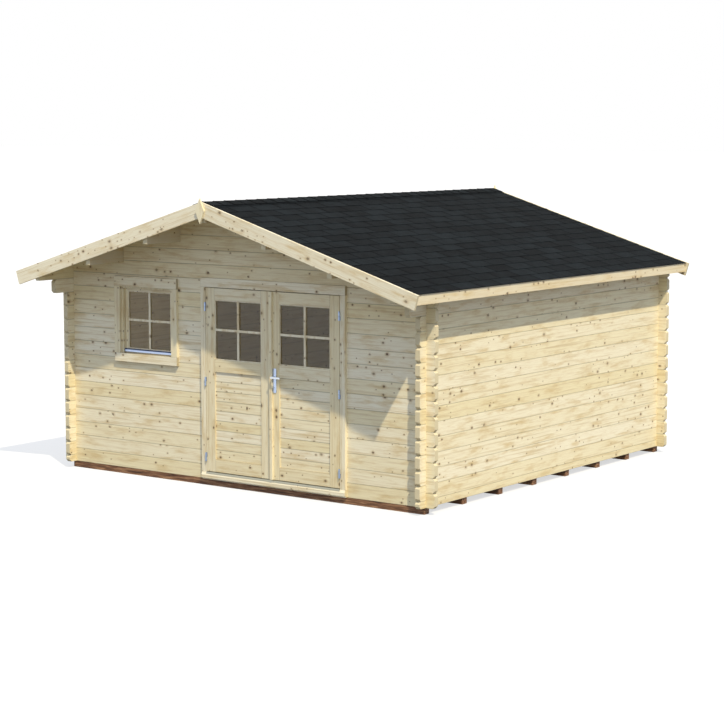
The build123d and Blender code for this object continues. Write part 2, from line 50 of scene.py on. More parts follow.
# Sizes that the CAD source gives
roof_pitch = radians(16.9)
log_pitch = 136 * MM
wall_base = 60.3 * MM
deck_apex = 2682.5 * MM
deck_thickness = 19 * MM
door_head_face = 86 * MM
window_head_face = 98 * MM
glass_edge = 7.7 * MM
panel_edge = 9.7 * MM
panel_board_count = 9
barrel_radius = 8 * MM
barrel_half = 42 * MM
hinge_shares = (0.078, 0.491, 0.897)
plate_thickness = 6 * MM
lever_z = 1100.3 * MM
arm_thickness = 12 * MM
neck_radius = 9 * MM
seat = 0.3 * MM

# Materials


def linear(code):
    """An sRGB hex value as a linear colour."""
    parts = [int(code[place:place + 2], 16) / 255 for place in (1, 3, 5)]
    return [part / 12.92 if part <= 0.04045 else ((part + 0.055) / 1.055) ** 2.4 for part in parts] + [1]


def add(tree, kind, inputs=None, **settings):
    """Adds a node and sets it. An input takes a value, a socket, or a node for its first output."""
    node = tree.nodes.new(kind)
    for name, value in settings.items():
        setattr(node, name, value)
    for place, value in (inputs or {}).items():
        if isinstance(value, bpy.types.Node):
            value = value.outputs[0]
        if isinstance(value, bpy.types.NodeSocket):
            tree.links.new(value, node.inputs[place])
        else:
            node.inputs[place].default_value = value
    return node


def ramp(node, stops):
    """Sets a colour ramp's stops from (place, hex value, alpha)."""
    elements = node.color_ramp.elements
    while len(elements) < len(stops):
        elements.new(1)
    for element, (place, code, alpha) in zip(elements, stops):
        element.position = place
        element.color = linear(code)[:3] + [alpha]
    return node


def new_material(name):
    """An empty material, with its shader."""
    material = bpy.data.materials.new(name)
    material.use_nodes = True
    tree = material.node_tree
    tree.nodes.clear()
    shader = add(tree, "ShaderNodeBsdfPrincipled")
    add(tree, "ShaderNodeOutputMaterial", {0: shader})
    return material, tree, shader


def blended(tree, share, strength, under, code):
    """One colour laid over another by a share of a given strength."""
    part = add(tree, "ShaderNodeMath", {0: share, 1: strength}, operation="MULTIPLY")
    return add(tree, "ShaderNodeMix", {0: part, 6: under, 7: linear(code)}, data_type="RGBA").outputs[2]


def off_middle(tree, count):
    """How far a place is from the middle of its row or tab: 0 there, and 0.5 at either edge."""
    part = add(tree, "ShaderNodeMath", {0: count}, operation="FRACT")
    from_middle = add(tree, "ShaderNodeMath", {0: part, 1: 0.5}, operation="SUBTRACT")
    return add(tree, "ShaderNodeMath", {0: from_middle}, operation="ABSOLUTE")


# Turns that bring the run of the grain onto the x axis
GRAIN_TURNS = {
    "x": (0, 0, 0),
    "y": (0, 0, radians(-90)),
    "z": (0, radians(90), 0),
    "right_slope": (0, -roof_pitch, 0),
    "left_slope": (0, roof_pitch, 0),
}


def level_parts(tree, coords, axes, level, turned, outward, key):
    """Lays the grain level in parts (left, right, low, high) of an upright frame, each with its own key.

    Returns the place, the normal and the key with that done, and a mask of the joints round the parts,
    which are drawn 2.2 mm wide so that they show, for painted shade and dirt in them.
    """
    joint_half = 1.1 * MM
    joints = 0
    for number, (left, right, low, high) in enumerate(level, 1):
        past = []
        for axis, start, end in ((0, left, right), (2, low, high)):
            middle = (start + end) / 2
            away = add(tree, "ShaderNodeMath", {0: axes.outputs[axis], 1: middle}, operation="SUBTRACT")
            off = add(tree, "ShaderNodeMath", {0: away}, operation="ABSOLUTE")
            past.append(add(tree, "ShaderNodeMath", {0: off, 1: (end - start) / 2}, operation="SUBTRACT"))
        outside = add(tree, "ShaderNodeMath", {0: past[0], 1: past[1]}, operation="MAXIMUM")
        within = add(tree, "ShaderNodeMath", {0: outside, 1: 0}, operation="LESS_THAN")
        places = {0: within, 4: turned, 5: coords.outputs["Object"]}
        turned = add(tree, "ShaderNodeMix", places, data_type="VECTOR").outputs[1]
        normals = {0: within, 4: outward, 5: coords.outputs["Normal"]}
        outward = add(tree, "ShaderNodeMix", normals, data_type="VECTOR").outputs[1]
        key = add(tree, "ShaderNodeMath", {0: within, 1: number, 2: key}, operation="MULTIPLY_ADD")
        beside = add(tree, "ShaderNodeMath", {0: outside}, operation="ABSOLUTE")
        joint = add(tree, "ShaderNodeMath", {0: beside, 1: joint_half}, operation="LESS_THAN")
        joints = add(tree, "ShaderNodeMath", {0: joints, 1: joint}, operation="MAXIMUM")
    return turned, outward, key, joints


def grain_place(tree, axes, rows, turned, key):
    """The place along the grain and across it, shifted by up to 40 m by chance, so that rows differ.

    Returns both, the three chances of the row, and the count of rows from the start.
    """
    shift = 40
    count = 0
    if rows:
        axis, start, pitch = rows
        height = add(tree, "ShaderNodeMath", {0: axes.outputs[axis], 1: start}, operation="SUBTRACT")
        count = add(tree, "ShaderNodeMath", {0: height, 1: pitch}, operation="DIVIDE")
        row = add(tree, "ShaderNodeMath", {0: count}, operation="FLOOR")
        key = add(tree, "ShaderNodeMath", {0: row, 1: key}, operation="ADD")
    chance = add(tree, "ShaderNodeTexWhiteNoise", {1: key}, noise_dimensions="1D")
    draws = add(tree, "ShaderNodeSeparateColor", {0: chance.outputs["Color"]})
    run = add(tree, "ShaderNodeSeparateXYZ", {0: turned})
    lengthwise = {0: draws.outputs[0], 1: shift, 2: run.outputs[0]}
    along = add(tree, "ShaderNodeMath", lengthwise, operation="MULTIPLY_ADD")
    sides = add(tree, "ShaderNodeMath", {0: run.outputs[1], 1: run.outputs[2]}, operation="ADD")
    sidewise = {0: draws.outputs[1], 1: shift, 2: sides}
    across = add(tree, "ShaderNodeMath", sidewise, operation="MULTIPLY_ADD")
    return along, across, draws, count


def stretched_noise(tree, along, across, length, width, detail, roughness=0.5):
    """Noise on a face, in patches of one length along the grain and one width across it."""
    far = add(tree, "ShaderNodeMath", {0: along, 1: 1 / length}, operation="MULTIPLY")
    wide = add(tree, "ShaderNodeMath", {0: across, 1: 1 / width}, operation="MULTIPLY")
    face = add(tree, "ShaderNodeCombineXYZ", {0: far, 1: wide})
    settings = {"Vector": face, "Scale": 1, "Detail": detail, "Roughness": roughness}
    return add(tree, "ShaderNodeTexNoise", settings, noise_dimensions="2D")


def spruce_knots(tree, along, across, most):
    """Knots of 2.6 to 9.6 mm radius, a little longer along the grain, clustered where the branches grew.

    In a cluster the share "most" of the cells hold a knot.
    Returns the knots' colour, how far they show, and a halo round them.
    """
    cell_size, stretch = 66 * MM, 0.75
    wobble_cell, wobble_size = 14 * MM, 6 * MM
    whorl_gap, whorl_start, whorl_full = 210 * MM, 0.44, 0.62
    least = 0.03
    smallest, growth = 2.6 * MM / cell_size, 7 * MM / cell_size
    ramp_reach, halo_reach = 3, 5
    faintest = 0.6
    never_zero = 0.0001

    long = add(tree, "ShaderNodeMath", {0: along, 1: stretch}, operation="MULTIPLY")
    straight = add(tree, "ShaderNodeCombineXYZ", {0: long, 1: across})
    wobble = add(tree, "ShaderNodeTexNoise", {"Vector": straight, "Scale": 1 / wobble_cell, "Detail": 1})
    face = add(
        tree, "ShaderNodeVectorMath", {0: wobble.outputs["Color"], 1: (wobble_size,) * 3, 2: straight},
        operation="MULTIPLY_ADD",
    )
    cells = add(
        tree, "ShaderNodeTexVoronoi", {"Vector": face, "Scale": 1 / cell_size}, voronoi_dimensions="2D",
    )
    cell = add(tree, "ShaderNodeSeparateColor", {0: cells.outputs["Color"]})

    # Whorls: places where the cells are likelier to hold a knot
    spread = {"Vector": cells.outputs["Position"], "Scale": 1 / whorl_gap, "Detail": 1}
    whorls = add(tree, "ShaderNodeTexNoise", spread)
    chances = {0: whorls, 1: whorl_start, 2: whorl_full, 3: least, 4: most}
    likely = add(tree, "ShaderNodeMapRange", chances)
    holds = add(tree, "ShaderNodeMath", {0: cell.outputs[0], 1: likely}, operation="LESS_THAN")

    # Distance from the knot's middle, in radii. Few knots are large.
    swell = add(tree, "ShaderNodeMath", {0: cell.outputs[1], 1: 3}, operation="POWER")
    size = add(tree, "ShaderNodeMath", {0: swell, 1: growth, 2: smallest}, operation="MULTIPLY_ADD")
    radius = add(tree, "ShaderNodeMath", {0: size, 1: holds}, operation="MULTIPLY")
    divisor = add(tree, "ShaderNodeMath", {0: radius, 1: never_zero}, operation="MAXIMUM")
    radii = add(tree, "ShaderNodeMath", {0: cells.outputs["Distance"], 1: divisor}, operation="DIVIDE")
    inward = add(tree, "ShaderNodeMath", {0: radii, 1: ramp_reach}, operation="DIVIDE", use_clamp=True)
    knot = ramp(add(tree, "ShaderNodeValToRGB", {0: inward}), [
        (0.0, "#5C462D", 0.95), (0.2, "#4C3822", 0.95), (0.33, "#3A2A17", 0.9),
        (0.45, "#A4865A", 0.5), (0.95, "#D2BA8C", 0),
    ])
    fade = add(tree, "ShaderNodeMapRange", {0: cell.outputs[2], 1: 0, 2: 1, 3: faintest, 4: 1})
    shows = add(tree, "ShaderNodeMath", {0: knot.outputs["Alpha"], 1: fade}, operation="MULTIPLY")
    dwindling = {0: radii, 1: 0, 2: halo_reach, 3: 1, 4: 0}
    halo = add(tree, "ShaderNodeMapRange", dwindling, interpolation_type="SMOOTHSTEP")
    return knot, shows, halo


def spruce_grain(tree, along, across, halo):
    """Masks of warm blotches, tan heartwood, late wood, which knots bow, and fibre.

    Fibre is drawn 3 mm wide, several times as coarse as real fibre, to show.
    """
    ring_gap = 11 * MM
    wander, bow = 5, 1.4
    streaks = stretched_noise(tree, along, across, 900 * MM, 24 * MM, 3, 0.55)
    blotches = stretched_noise(tree, along, across, 330 * MM, 70 * MM, 5, 0.6)
    fibre = stretched_noise(tree, along, across, 120 * MM, 3 * MM, 2)

    # Growth rings: lines about 11 mm apart that wander with the streaks
    waver = add(tree, "ShaderNodeMath", {0: streaks, 1: wander}, operation="MULTIPLY")
    bowed = add(tree, "ShaderNodeMath", {0: halo, 1: bow, 2: waver}, operation="MULTIPLY_ADD")
    phase = add(tree, "ShaderNodeMath", {0: across, 1: 1 / ring_gap, 2: bowed}, operation="MULTIPLY_ADD")
    saw = add(tree, "ShaderNodeMath", {0: phase}, operation="FRACT")

    masks = []
    for source, start, full in ((blotches, 0.45, 0.8), (streaks, 0.5, 0.78), (saw, 0.35, 1)):
        rise = {0: source, 1: start, 2: full, 3: 0, 4: 1}
        masks.append(add(tree, "ShaderNodeMapRange", rise, interpolation_type="SMOOTHSTEP"))
    warm, heart, late = masks
    return warm, heart, late, fibre


def end_grain(tree, turned, outward):
    """Rings 7 mm apart round a heart below the piece. Returns a mask of the ends, and their colour."""
    ring_gap = 7 * MM
    unit_gap = 0.314  # the wave texture's ring gap at a scale of 1
    heart_shift = (0, 30 * MM, 90 * MM)
    end_facing = 0.6
    facing = add(tree, "ShaderNodeSeparateXYZ", {0: outward})
    end_on = add(tree, "ShaderNodeMath", {0: facing}, operation="ABSOLUTE")
    is_end = add(tree, "ShaderNodeMath", {0: end_on, 1: end_facing}, operation="GREATER_THAN")
    from_heart = add(tree, "ShaderNodeMapping", {0: turned, 1: heart_shift})
    waves = {"Vector": from_heart, "Scale": unit_gap / ring_gap, "Distortion": 1.5}
    rings = add(
        tree, "ShaderNodeTexWave", waves, wave_type="RINGS", rings_direction="X", wave_profile="SAW",
    )
    shades = {0: rings.outputs["Fac"], 6: linear("#E2D7B4"), 7: linear("#D2C29B")}
    return is_end, add(tree, "ShaderNodeMix", shades, data_type="RGBA").outputs[2]


# Planed spruce, untreated: cream sapwood with tan streaks, dark knots, faint growth rings, and rings
# across the sawn ends. Rings are drawn about twice as coarse as real ones, to show.
def spruce(
    name, grain, seed, rows=None, joints=0, level=(), knot_share=0.5, pale="#FEF7DD", deep="#F5E9BF",
):
    """Spruce whose grain runs along one axis.

    Rows (axis, start, pitch) sets each log or board apart, with a dark line of the strength "joints"
    between them: painted shade and dirt in the joint. Level lists parts (left, right, low, high) of an
    upright frame whose grain runs level.
    """
    material, tree, shader = new_material(name)
    coords = add(tree, "ShaderNodeTexCoord")
    axes = add(tree, "ShaderNodeSeparateXYZ", {0: coords.outputs["Object"]})
    turn = GRAIN_TURNS[grain]
    turned = add(tree, "ShaderNodeMapping", {0: coords.outputs["Object"], 2: turn})
    outward = add(tree, "ShaderNodeMapping", {0: coords.outputs["Normal"], 2: turn}, vector_type="VECTOR")
    turned, outward, key, level_joint_shade_mask = level_parts(tree, coords, axes, level, turned, outward, seed)

    along, across, draws, count = grain_place(tree, axes, rows, turned, key)
    knot, knot_shows, halo = spruce_knots(tree, along, across, knot_share)
    warm, heart, late, fibre = spruce_grain(tree, along, across, halo)

    # Each row's own tone, and over it the layers by their strength
    tones = {0: draws.outputs[2], 6: linear(pale), 7: linear(deep)}
    colour = add(tree, "ShaderNodeMix", tones, data_type="RGBA").outputs[2]
    for layer, strength, code in (
        (warm, 0.78, "#D8BE86"),
        (heart, 0.68, "#D0B988"),
        (late, 0.24, "#CDAE78"),
        (fibre, 0.2, "#BFAE8C"),
        (halo, 0.38, "#C6AA78"),
    ):
        colour = blended(tree, layer, strength, colour, code)
    knotted = {0: knot_shows, 6: colour, 7: knot.outputs["Color"]}
    colour = add(tree, "ShaderNodeMix", knotted, data_type="RGBA").outputs[2]
    is_end, end_colour = end_grain(tree, turned, outward)
    ended = {0: is_end, 6: colour, 7: end_colour}
    colour = add(tree, "ShaderNodeMix", ended, data_type="RGBA").outputs[2]

    # Painted shade and dirt in the joint between two logs or boards, drawn 7 mm wide so that it shows,
    # and in those round level parts
    joint_half, joint_soft = 3.5 * MM, 1.6 * MM
    level_joint_shade = 0.55
    if joints:
        pitch = rows[2]
        edge, soft = 0.5 - joint_half / pitch, joint_soft / pitch
        darkening = {0: off_middle(tree, count), 1: edge - soft, 2: edge + soft / 3, 3: 0, 4: 1}
        dark = add(tree, "ShaderNodeMapRange", darkening)
        colour = blended(tree, dark, joints, colour, "#8A8266")
    if level:
        colour = blended(tree, level_joint_shade_mask, level_joint_shade, colour, "#7D6A48")

    relief = add(tree, "ShaderNodeMath", {0: late, 1: fibre}, operation="ADD")
    bump = add(tree, "ShaderNodeBump", {"Strength": 0.25, "Distance": 0.4 * MM, "Height": relief})
    gloss = add(tree, "ShaderNodeMapRange", {0: late, 1: 0, 2: 1, 3: 0.68, 4: 0.56})
    tree.links.new(colour, shader.inputs["Base Color"])
    tree.links.new(gloss.outputs[0], shader.inputs["Roughness"])
    tree.links.new(bump.outputs[0], shader.inputs["Normal"])
    return material


# Pressure-treated softwood: brown stain in streaks along the grain, 220 mm long and 16 mm wide
def treated_timber():
    material, tree, shader = new_material("treated_softwood")
    length, width = 220 * MM, 16 * MM
    coords = add(tree, "ShaderNodeTexCoord").outputs["Object"]
    stretched = add(tree, "ShaderNodeMapping", {0: coords, 3: (1 / length, 1 / width, 1 / width)})
    settings = {"Vector": stretched, "Scale": 1, "Detail": 5, "Roughness": 0.65}
    grain = add(tree, "ShaderNodeTexNoise", settings)
    colour = ramp(add(tree, "ShaderNodeValToRGB", {0: grain}), [
        (0.34, "#351F12", 1), (0.5, "#79543A", 1), (0.64, "#AE8560", 1),
    ])
    bump = add(tree, "ShaderNodeBump", {"Strength": 0.4, "Distance": 1 * MM, "Height": grain})
    tree.links.new(colour.outputs[0], shader.inputs["Base Color"])
    tree.links.new(bump.outputs[0], shader.inputs["Normal"])
    shader.inputs["Roughness"].default_value = 0.75
    return material


# Slate-coated bitumen shingle: near-black mineral granules, each tab of its own shade, and painted
# shadow of the gaps along its sides. Granules are drawn 4 mm wide, about three times their size, and the
# painted shadow 9 mm, to show.
def bitumen_shingle(name, tab_start, tab_width, course_width=None):
    """Shingle in tabs along y. With a course width on plan, each course down is set half a tab over."""
    material, tree, shader = new_material(name)
    granule, patch_size, side_shadow_width = 4 * MM, 140 * MM, 9 * MM
    granule_share, patch_share, tab_share, side_shadow_share = 0.4, 0.5, 0.24, -0.35
    coords = add(tree, "ShaderNodeTexCoord").outputs["Object"]
    axes = add(tree, "ShaderNodeSeparateXYZ", {0: coords})

    # Each tab's number along its course, and its chance
    run, course = axes.outputs[1], 0
    if course_width:
        side = add(tree, "ShaderNodeMath", {0: axes.outputs[0]}, operation="SIGN")
        run = add(tree, "ShaderNodeMath", {0: run, 1: side}, operation="MULTIPLY")
        courses = add(tree, "ShaderNodeMath", {0: axes.outputs[0], 1: course_width}, operation="DIVIDE")
        down = add(tree, "ShaderNodeMath", {0: courses}, operation="ABSOLUTE")
        course = add(tree, "ShaderNodeMath", {0: down}, operation="FLOOR")
    reach = add(tree, "ShaderNodeMath", {0: run, 1: tab_start}, operation="SUBTRACT")
    tabs = add(tree, "ShaderNodeMath", {0: reach, 1: tab_width}, operation="DIVIDE")
    shifted = add(tree, "ShaderNodeMath", {0: course, 1: 0.5, 2: tabs}, operation="MULTIPLY_ADD")
    tab = add(tree, "ShaderNodeMath", {0: shifted}, operation="FLOOR")
    key = add(tree, "ShaderNodeCombineXYZ", {0: tab, 1: course})
    chance = add(tree, "ShaderNodeTexWhiteNoise", {0: key}, noise_dimensions="3D")
    # Painted shadow of the gap along each side of a tab
    edge = 0.5 - side_shadow_width / tab_width
    dark = add(tree, "ShaderNodeMath", {0: off_middle(tree, shifted), 1: edge}, operation="GREATER_THAN")

    grit = add(tree, "ShaderNodeTexVoronoi", {"Vector": coords, "Scale": 1 / granule})
    patch = add(tree, "ShaderNodeTexNoise", {"Vector": coords, "Scale": 1 / patch_size, "Detail": 3})
    speck = add(tree, "ShaderNodeSeparateColor", {0: grit.outputs["Color"]})
    shade = add(tree, "ShaderNodeMath", {0: speck, 1: granule_share}, operation="MULTIPLY")
    for layer, share in ((patch, patch_share), (chance, tab_share), (dark, side_shadow_share)):
        shade = add(tree, "ShaderNodeMath", {0: layer, 1: share, 2: shade}, operation="MULTIPLY_ADD")
    colour = ramp(add(tree, "ShaderNodeValToRGB", {0: shade}), [
        (0.08, "#040507", 1), (0.43, "#0A0D10", 1), (0.83, "#1B2125", 1),
    ])
    bump = add(tree, "ShaderNodeBump", {"Strength": 0.5, "Distance": 1 * MM, "Height": speck})
    tree.links.new(colour.outputs[0], shader.inputs["Base Color"])
    tree.links.new(bump.outputs[0], shader.inputs["Normal"])
    shader.inputs["Roughness"].default_value = 0.92
    shader.inputs["Specular IOR Level"].default_value = 0.08
    return material


# Float glass: thin, faintly bronze, with dust that dulls it in patches
def float_glass():
    material, tree, shader = new_material("float_glass")
    patch_size = 90 * MM
    coords = add(tree, "ShaderNodeTexCoord").outputs["Object"]
    dust = add(tree, "ShaderNodeTexNoise", {"Vector": coords, "Scale": 1 / patch_size, "Detail": 4})
    haze = add(tree, "ShaderNodeMapRange", {0: dust, 1: 0.4, 2: 0.75, 3: 0.01, 4: 0.06})
    tree.links.new(haze.outputs[0], shader.inputs["Roughness"])
    shader.inputs["Base Color"].default_value = linear("#D2C6A6")
    shader.inputs["Transmission Weight"].default_value = 1
    shader.inputs["IOR"].default_value = 1.5
    shader.inputs["Specular IOR Level"].default_value = 0.3
    return material


# Brushed metal, steel or mill aluminium: satin, with upright lines, drawn 1.2 mm wide, coarser than real
def brushed_metal(name, dark, light):
    material, tree, shader = new_material(name)
    width, length = 1.2 * MM, 50 * MM
    coords = add(tree, "ShaderNodeTexCoord").outputs["Object"]
    lines = add(tree, "ShaderNodeMapping", {0: coords, 3: (1 / width, 1 / width, 1 / length)})
    brush = add(tree, "ShaderNodeTexNoise", {"Vector": lines, "Scale": 1, "Detail": 2})
    rough = add(tree, "ShaderNodeMapRange", {0: brush, 1: 0.3, 2: 0.7, 3: 0.26, 4: 0.42})
    colour = add(tree, "ShaderNodeMix", {0: brush, 6: linear(dark), 7: linear(light)}, data_type="RGBA")
    tree.links.new(rough.outputs[0], shader.inputs["Roughness"])
    tree.links.new(colour.outputs[2], shader.inputs["Base Color"])
    shader.inputs["Metallic"].default_value = 1
    return material


# Anodised aluminium: matt, cool grey-blue, with lines along the bar, made 1.5 mm wide, coarser than real
def anodised_bar():
    material, tree, shader = new_material("anodised_aluminium")
    length, width = 80 * MM, 1.5 * MM
    coords = add(tree, "ShaderNodeTexCoord").outputs["Object"]
    lines = add(tree, "ShaderNodeMapping", {0: coords, 3: (1 / length, 1 / width, 1 / width)})
    drawn = add(tree, "ShaderNodeTexNoise", {"Vector": lines, "Scale": 1, "Detail": 2})
    shades = {0: drawn, 6: linear("#A3BAE2"), 7: linear("#D0DDF2")}
    colour = add(tree, "ShaderNodeMix", shades, data_type="RGBA")
    tree.links.new(colour.outputs[2], shader.inputs["Base Color"])
    shader.inputs["Metallic"].default_value = 1
    shader.inputs["Roughness"].default_value = 0.38
    return material


# Rubber seal: dull blue-black, with a faint bloom. Partly painted shade: it also stands for the shade
# along the top of the drip rail.
def rubber():
    material, tree, shader = new_material("seal_rubber_and_gap_shade")
    patch_size = 30 * MM
    coords = add(tree, "ShaderNodeTexCoord").outputs["Object"]
    bloom = add(tree, "ShaderNodeTexNoise", {"Vector": coords, "Scale": 1 / patch_size, "Detail": 3})
    shades = [(0.3, "#1F2C4C", 1), (0.7, "#33456E", 1)]
    colour = ramp(add(tree, "ShaderNodeValToRGB", {0: bloom}), shades)
    tree.links.new(colour.outputs[0], shader.inputs["Base Color"])
    shader.inputs["Roughness"].default_value = 0.6
    return material


def coat(material, *names):
    """Gives CAD nodes a material."""
    for name in names:
        slots = nodes[name].data.materials
        slots.clear()
        slots.append(material)


# Logs, and boards that lie in rows
# Strength of the painted shade and dirt in the joints between logs
log_joint_shade = 0.4
log_rows = (2, wall_base, log_pitch)
side_log_rows = (2, wall_base - log_pitch / 2, log_pitch)
coat(
    spruce("spruce_logs_across", "x", 3, log_rows, log_joint_shade),
    "front_wall_left_logs", "front_wall_right_logs", "front_gable_logs",
    "back_wall_logs", "back_gable_logs",
)
coat(spruce("spruce_logs_deep", "y", 60, side_log_rows, log_joint_shade), "left_wall_logs", "right_wall_logs")
deck_low, deck_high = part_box("right_roof_deck")
board_count = 51
board_pitch = (deck_high.y - deck_low.y) / board_count
roof_rows = (1, deck_low.y, board_pitch)
roof_board_right = spruce("spruce_roof_boards_right", "right_slope", 200, roof_rows)
roof_board_left = spruce("spruce_roof_boards_left", "left_slope", 300, roof_rows)
floor_low, floor_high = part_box("floor_deck")
floor_count = 36
floor_pitch = (floor_high.x - floor_low.x) / floor_count
floor_spruce = spruce("spruce_floor", "y", 400, (0, floor_low.x, floor_pitch))

# Single boards. On the bargeboards the share of knots runs past 1, so that whole stretches have them.
many_knots = 0.75
barge_knots = 1.2
# Purlins in darker, greyer tones than the other spruce: painted shade under the roof
coat(
    spruce("spruce_purlins_painted_shade", "y", 7, pale="#E0D6BC", deep="#D5C8A6"),
    "ridge_purlin", "left_purlins", "right_purlins",
)
coat(
    spruce("spruce_fascias", "y", 7, knot_share=many_knots, pale="#EDE2C5", deep="#E2D3AB"),
    "left_fascia", "right_fascia",
)
for side, seed, pale, deep in (("right", 21, "#FAF6E4", "#F3EBCD"), ("left", 22, "#FFFBE8", "#F8EFD0")):
    barge_spruce = spruce(
        "spruce_barge_" + side, side + "_slope", seed, knot_share=barge_knots, pale=pale, deep=deep,
    )
    coat(barge_spruce, "front_" + side + "_bargeboard", "back_" + side + "_bargeboard")
coat(spruce("spruce_upright", "z", 31), "front_finial", "back_finial", "meeting_strip")
coat(spruce("spruce_threshold", "x", 32), "door_threshold")
joinery = spruce("spruce_bars", "z", 33)

# The door frame, with a level head
casing_low, casing_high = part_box("door_casing")
door_level = [(casing_low.x, casing_high.x, casing_high.z - door_head_face, casing_high.z)]
coat(spruce("spruce_door_frame", "z", 41, level=door_level), "door_casing", "door_frame")

# Door leaves: level rails between upright stiles, over a panel of nine level boards
# Strength of the painted shade and dirt in the joints between panel boards
panel_joint_shade = 0.5
for side, seed, panel_seed in (("left", 51, 71), ("right", 52, 72)):
    leaf_low, leaf_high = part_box(side + "_door_leaf")
    glass_low, glass_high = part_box(side + "_door_glass")
    panel_low, panel_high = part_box(side + "_door_panel")
    rail_x = (glass_low.x + glass_edge, glass_high.x - glass_edge)
    rails = [
        (*rail_x, leaf_low.z, panel_low.z + panel_edge),
        (*rail_x, panel_high.z - panel_edge, glass_low.z + glass_edge),
        (*rail_x, glass_high.z - glass_edge, leaf_high.z),
    ]
    leaf_spruce = spruce(
        "spruce_" + side + "_leaf", "z", seed,
        level=rails, knot_share=many_knots, pale="#F8EFCF", deep="#F2E5BC",
    )
    coat(leaf_spruce, side + "_door_leaf")
    panel_pitch = (panel_high.z - panel_low.z - 2 * panel_edge) / panel_board_count
    panel_rows = (2, panel_low.z + panel_edge, panel_pitch)
    panel_spruce = spruce(
        "spruce_" + side + "_panel", "x", panel_seed, panel_rows, panel_joint_shade, knot_share=many_knots,
    )
    coat(panel_spruce, side + "_door_panel")

# The window, with level head, sill and sash rails
casing_low, casing_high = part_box("window_casing")
sash_low, sash_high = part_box("window_sash")
pane_low, pane_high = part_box("window_glass")
pane_x = (pane_low.x + glass_edge, pane_high.x - glass_edge)
window_level = [
    (casing_low.x, casing_high.x, casing_low.z, sash_low.z),
    (casing_low.x, casing_high.x, casing_high.z - window_head_face, casing_high.z),
    (*pane_x, sash_low.z, pane_low.z + glass_edge),
    (*pane_x, pane_high.z - glass_edge, sash_high.z),
]
window_spruce = spruce("spruce_window", "z", 61, level=window_level)
coat(window_spruce, "window_casing", "window_frame", "window_sash")

coat(treated_timber(), "foundation_bearers")
coat(float_glass(), "window_glass", "left_door_glass", "right_door_glass")
hinge_steel = brushed_metal("zinc_plated_steel", "#8C9FC0", "#A9BCDB")
plate_steel = brushed_metal("satin_plate_steel", "#AFC1E2", "#C8D8F5")
lever_steel = brushed_metal("satin_lever_steel", "#CBD5E2", "#E6ECF2")
mill_aluminium = brushed_metal("mill_aluminium", "#A9A796", "#C2C0AE")
aluminium = anodised_bar()
seal_and_gap_shade = rubber()

# Modelling steps

# How near a plane a point counts as on it, and how much of a direction counts as along or across an axis
NEAR = 1 * MM
ALONG = 0.9
ACROSS = 0.1


def start_block(name, low, high):
    """A cube brought to two corners. It is left in edit mode, all selected."""
    bpy.ops.object.select_all(action="DESELECT")
    bpy.ops.mesh.primitive_cube_add(size=1)
    piece = bpy.context.object
    piece.name = name
    piece.data.name = name
    bpy.ops.object.mode_set(mode="EDIT")
    low, high = Vector(low), Vector(high)
    bpy.ops.transform.resize(value=high - low)
    bpy.ops.transform.translate(value=(low + high) / 2)
    return piece


def start_rod(name, radius, low, high, axis, sides=24):
    """A cylinder between two points on an axis ("Y" or "Z"). It is left in edit mode, all selected."""
    low, high = Vector(low), Vector(high)
    turn = (radians(90), 0, 0) if axis == "Y" else (0, 0, 0)
    bpy.ops.object.select_all(action="DESELECT")
    bpy.ops.mesh.primitive_cylinder_add(
        vertices=sides, radius=radius, depth=(high - low).length, rotation=turn,
    )
    piece = bpy.context.object
    piece.name = name
    piece.data.name = name
    bpy.ops.object.transform_apply(rotation=True)
    bpy.ops.object.mode_set(mode="EDIT")
    bpy.ops.transform.translate(value=(low + high) / 2)
    return piece


def pick(piece, kind, test):
    """In edit mode, selects vertices (place), edges (middle, run) or faces (middle, normal) that pass."""
    bpy.ops.mesh.select_mode(type=kind)
    bpy.ops.mesh.select_all(action="DESELECT")
    shape = bmesh.from_edit_mesh(piece.data)
    if kind == "VERT":
        for vertex in shape.verts:
            vertex.select_set(test(vertex.co))
    if kind == "EDGE":
        for edge in shape.edges:
            first, last = (vertex.co for vertex in edge.verts)
            edge.select_set(test((first + last) / 2, (last - first).normalized()))
    if kind == "FACE":
        for face in shape.faces:
            face.select_set(test(face.calc_center_median(), face.normal))
    shape.select_flush_mode()
    bmesh.update_edit_mesh(piece.data)


def bevel(piece, offset, segments, test):
    """In edit mode, bevels the edges (middle, run) that pass."""
    pick(piece, "EDGE", test)
    bpy.ops.mesh.bevel(offset=offset, segments=segments)


def end_editing():
    bpy.ops.object.mode_set(mode="OBJECT")


def only(piece):
    """Makes one piece the selected and active one."""
    bpy.ops.object.select_all(action="DESELECT")
    piece.select_set(True)
    bpy.context.view_layer.objects.active = piece


def place(piece, shift, turn=(0, 0, 0)):
    """Turns and then shifts a finished shape, with its place in its mesh."""
    only(piece)
    piece.location = shift
    piece.rotation_euler = turn
    bpy.ops.object.transform_apply(location=True, rotation=True)


def copied(piece, name, shift=(0, 0, 0), turn=(0, 0, 0)):
    """A copy with its own mesh, turned and then shifted."""
    twin = piece.copy()
    twin.data = piece.data.copy()
    twin.name = name
    twin.data.name = name
    bpy.context.scene.collection.objects.link(twin)
    place(twin, shift, turn)
    return twin


def joined(name, pieces):
    """Several pieces as one object."""
    bpy.ops.object.select_all(action="DESELECT")
    for piece in pieces:
        piece.select_set(True)
    bpy.context.view_layer.objects.active = pieces[0]
    bpy.ops.object.join()
    pieces[0].name = name
    pieces[0].data.name = name
    return pieces[0]


def repeat(piece, count, step):
    """A row of the piece, as one mesh."""
    only(piece)
    row = piece.modifiers.new("row", "ARRAY")
    row.count = count
    row.use_relative_offset = False
    row.use_constant_offset = True
    row.constant_offset_displace = step
    bpy.ops.object.modifier_apply(modifier="row")


